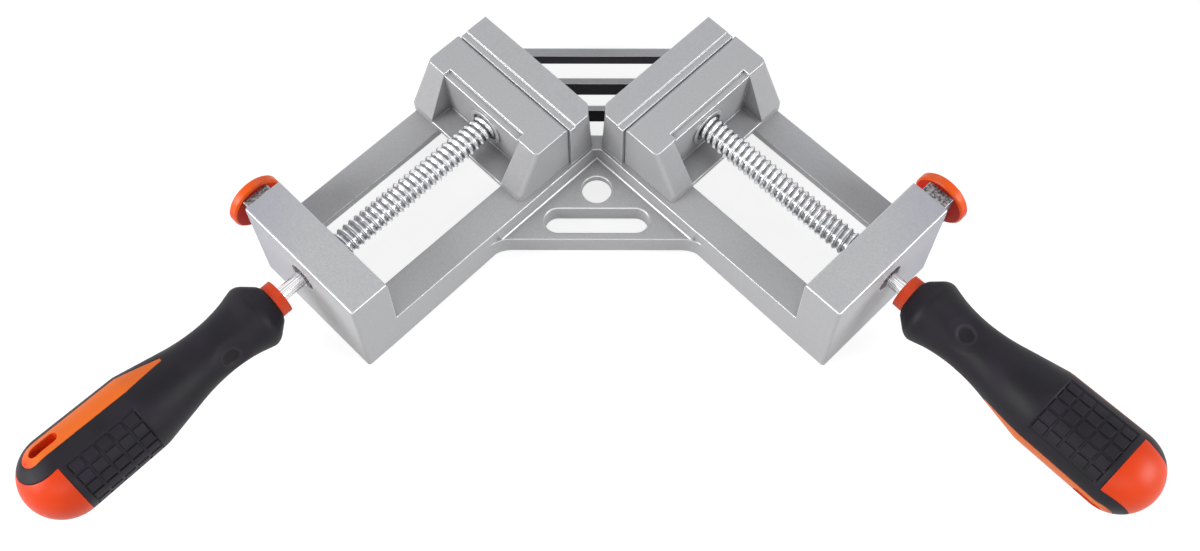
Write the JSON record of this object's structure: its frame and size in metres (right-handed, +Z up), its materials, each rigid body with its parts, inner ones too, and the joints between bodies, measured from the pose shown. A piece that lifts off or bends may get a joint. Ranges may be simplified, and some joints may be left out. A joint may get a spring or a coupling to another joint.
{
  "type": "corner clamp",
  "caption": "Right-angle bench clamp: paired screw-driven jaws on one casting, with long soft-grip handles and push-button quick release.",
  "frame": {"origin": "the corner where the planes of the two fixed jaw faces meet, at bench level", "axes": "+X to the right and +Y away from the user, so that the arms run to the front left and the front right at 45 degrees; +Z up from the bench"},
  "size_m": [0.43, 0.2188, 0.051],
  "materials": {
    "cast_paint": "fine-textured silver-grey paint on cast aluminium",
    "steel_strip": "cut from bright strip",
    "zinc_screws": "bright zinc plate",
    "steel_pins": "ground",
    "zinc_screw_rod": "bright plated rolled thread",
    "orange_plastic": "satin moulded, fine grain",
    "black_grip": "soft moulded skin, satin",
    "cast_slider": "as cast, light grey",
    "orange_knob": "smooth moulded",
    "spring_steel": "drawn wire"
  },
  "bodies": {
    "base": {"base_casting": "cast_paint", "left_release_spring": "spring_steel", "left_release_stop_pin": "steel_pins", "right_release_spring": "spring_steel", "right_release_stop_pin": "steel_pins"},
    "left_jaw": {"left_moving_jaw": "cast_paint", "left_keeper_plate": "steel_strip", "left_keeper_screws": "zinc_screws", "left_retaining_pin": "steel_pins"},
    "left_screw": {"left_clamp_screw": "zinc_screw_rod", "left_handle_core": "orange_plastic", "left_handle_grip": "black_grip"},
    "left_release": {"left_release_slider": "cast_slider", "left_release_knob": "orange_knob"},
    "right_jaw": {"right_moving_jaw": "cast_paint", "right_keeper_plate": "steel_strip", "right_keeper_screws": "zinc_screws", "right_retaining_pin": "steel_pins"},
    "right_screw": {"right_clamp_screw": "zinc_screw_rod", "right_handle_core": "orange_plastic", "right_handle_grip": "black_grip"},
    "right_release": {"right_release_slider": "cast_slider", "right_release_knob": "orange_knob"}
  },
  "joints": [
    {"name": "left_jaw_slide", "type": "slide", "parent": "base", "child": "left_jaw", "axis": [-0.7071, -0.7071, 0], "range_m": [0, 0.07]},
    {"name": "left_screw_turn", "type": "hinge", "parent": "left_jaw", "child": "left_screw", "pos_m": [-0.07601, -0.00884, 0.034], "axis": [-0.7071, -0.7071, 0], "range_deg": [-5, 8405]},
    {"name": "left_release_push", "type": "slide", "parent": "base", "child": "left_release", "axis": [0.7071, -0.7071, 0], "range_m": [0, 0.004], "stiffness_N_per_m": 500, "springref_m": -0.002, "deforming": ["left_release_spring"]},
    {"name": "right_jaw_slide", "type": "slide", "parent": "base", "child": "right_jaw", "axis": [0.7071, -0.7071, 0], "range_m": [0, 0.07]},
    {"name": "right_screw_turn", "type": "hinge", "parent": "right_jaw", "child": "right_screw", "pos_m": [0.07601, -0.00884, 0.034], "axis": [0.7071, -0.7071, 0], "range_deg": [-5, 8405]},
    {"name": "right_release_push", "type": "slide", "parent": "base", "child": "right_release", "axis": [-0.7071, -0.7071, 0], "range_m": [0, 0.004], "stiffness_N_per_m": 500, "springref_m": -0.002, "deforming": ["right_release_spring"]}
  ],
  "couplings": [
    {"joint": "left_screw_turn", "follows": "left_jaw_slide", "rad_per_m": 2094.4},
    {"joint": "right_screw_turn", "follows": "right_jaw_slide", "rad_per_m": 2094.4}
  ]
}
